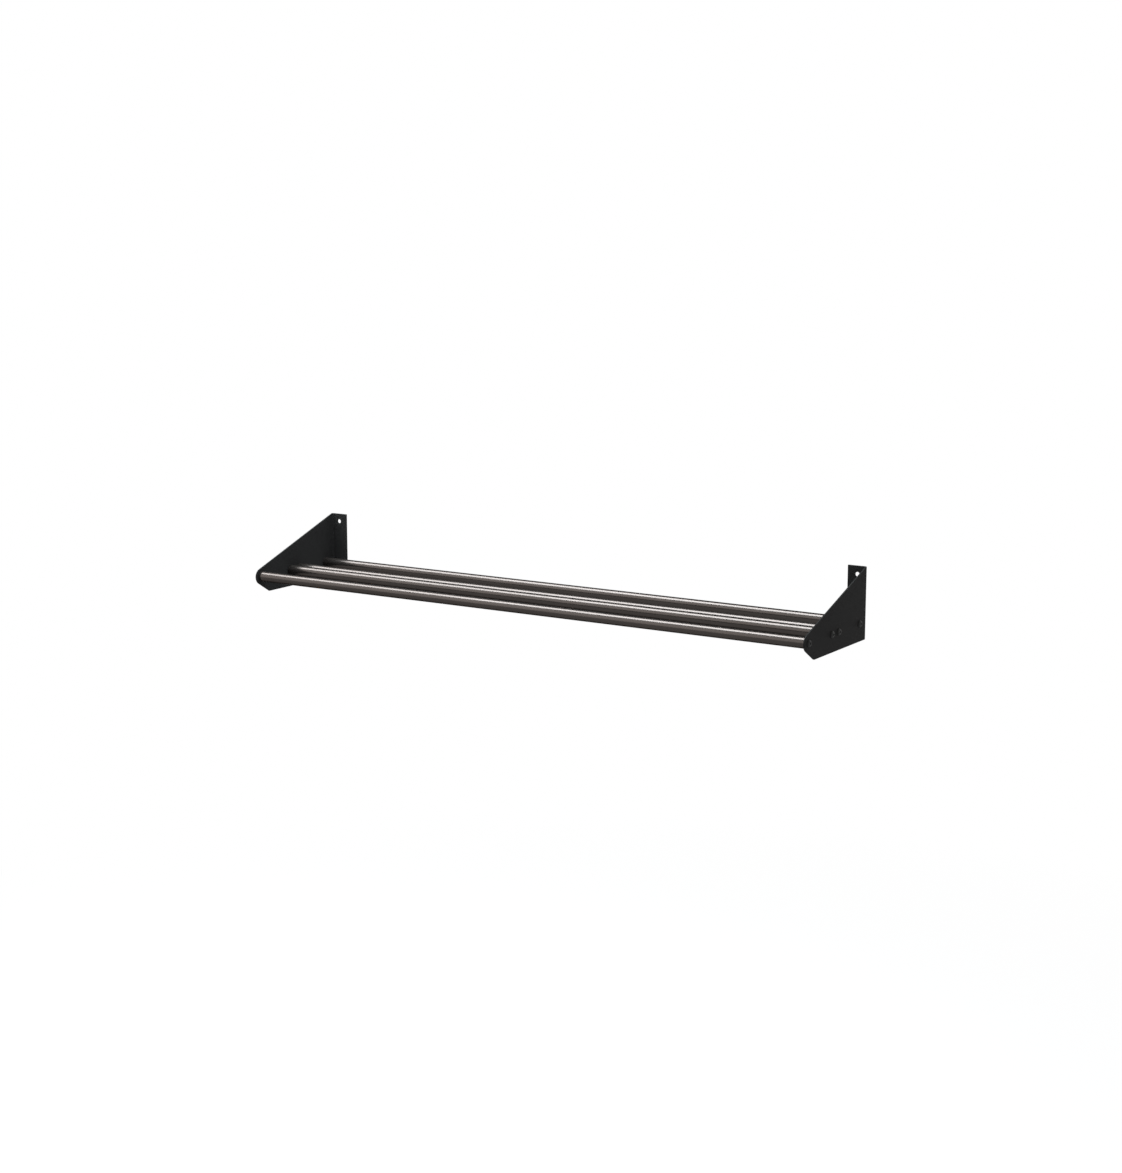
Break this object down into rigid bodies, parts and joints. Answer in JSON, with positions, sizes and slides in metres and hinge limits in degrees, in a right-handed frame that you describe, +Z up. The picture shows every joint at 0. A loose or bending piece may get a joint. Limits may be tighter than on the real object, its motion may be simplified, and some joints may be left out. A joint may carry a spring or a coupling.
{
  "type": "bottle rail",
  "caption": "Wall-mounted rail shelf for bottles: parallel round tubes screwed between folded sheet-metal end brackets with drilled rear flanges.",
  "frame": {"origin": "on the wall plane, halfway between the two wall holes", "axes": "+X along the rail, +Y into the wall, +Z up"},
  "size_m": [0.9054, 0.184, 0.098],
  "materials": {
    "bracket_coat": "satin black powder coat",
    "tube_metal": "dark satin plating",
    "plug_steel": "turned, zinc plated",
    "screw_black": "black oxide"
  },
  "bodies": {
    "root": {"left_bracket": "bracket_coat", "right_bracket": "bracket_coat", "front_tube": "tube_metal", "inner_front_tube": "tube_metal", "inner_rear_tube": "tube_metal", "rear_tube": "tube_metal", "front_left_plug": "plug_steel", "front_right_plug": "plug_steel", "inner_front_left_plug": "plug_steel", "inner_front_right_plug": "plug_steel", "inner_rear_left_plug": "plug_steel", "inner_rear_right_plug": "plug_steel", "rear_left_plug": "plug_steel", "rear_right_plug": "plug_steel", "front_left_screw": "screw_black", "front_right_screw": "screw_black", "inner_front_left_screw": "screw_black", "inner_front_right_screw": "screw_black", "inner_rear_left_screw": "screw_black", "inner_rear_right_screw": "screw_black", "rear_left_screw": "screw_black", "rear_right_screw": "screw_black"}
  },
  "joints": []
}
